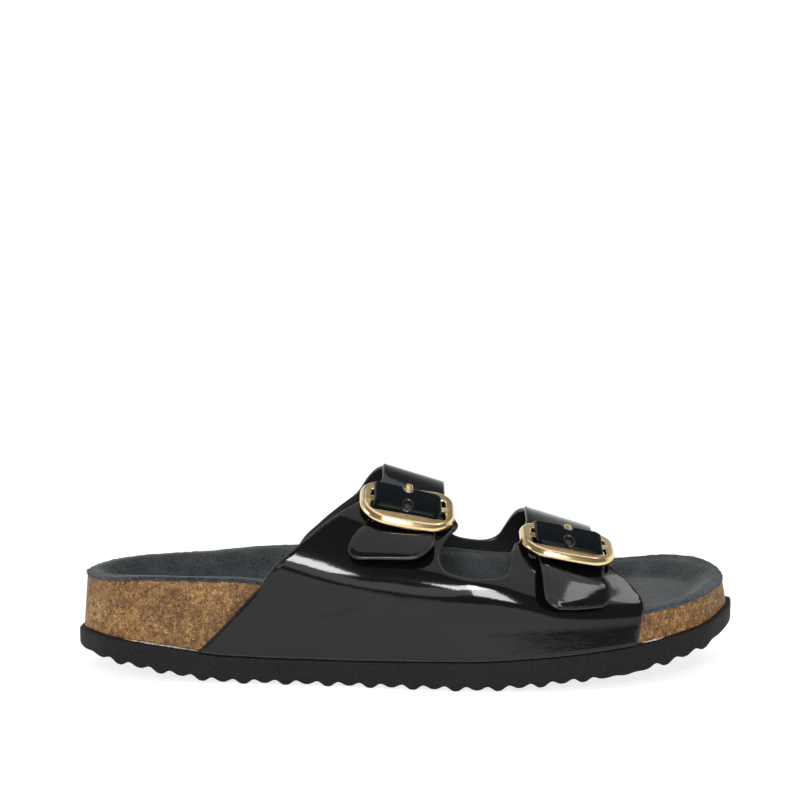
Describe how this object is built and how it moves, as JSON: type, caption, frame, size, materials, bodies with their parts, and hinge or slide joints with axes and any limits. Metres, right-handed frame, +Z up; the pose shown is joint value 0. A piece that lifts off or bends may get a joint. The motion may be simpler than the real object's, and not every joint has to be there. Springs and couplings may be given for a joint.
{
  "type": "flat sandal",
  "caption": "Flat sandal for the right foot with a patent leather upper of buckled straps, a cork footbed with a suede insole and a lugged foam outsole.",
  "frame": {"origin": "on the floor, in the middle of the length and the width of the sole", "axes": "+X from the heel to the toe, -Y to the outer side of the foot, +Z up"},
  "size_m": [0.262, 0.0968, 0.0801],
  "materials": {
    "outsole_foam": "matte black foam rubber with a fine speckle",
    "cork": "satin pressed cork granules",
    "suede": "blue-black suede nap with a fuzzy cut edge",
    "patent_leather": "high-gloss black patent",
    "gold_metal": "polished warm gold plating"
  },
  "bodies": {
    "root": {"outsole": "outsole_foam", "cork_footbed": "cork", "insole": "suede", "upper": "patent_leather", "buckle_frame_rear": "gold_metal", "buckle_prong_rear": "gold_metal", "buckle_frame_front": "gold_metal", "buckle_prong_front": "gold_metal"}
  },
  "joints": []
}
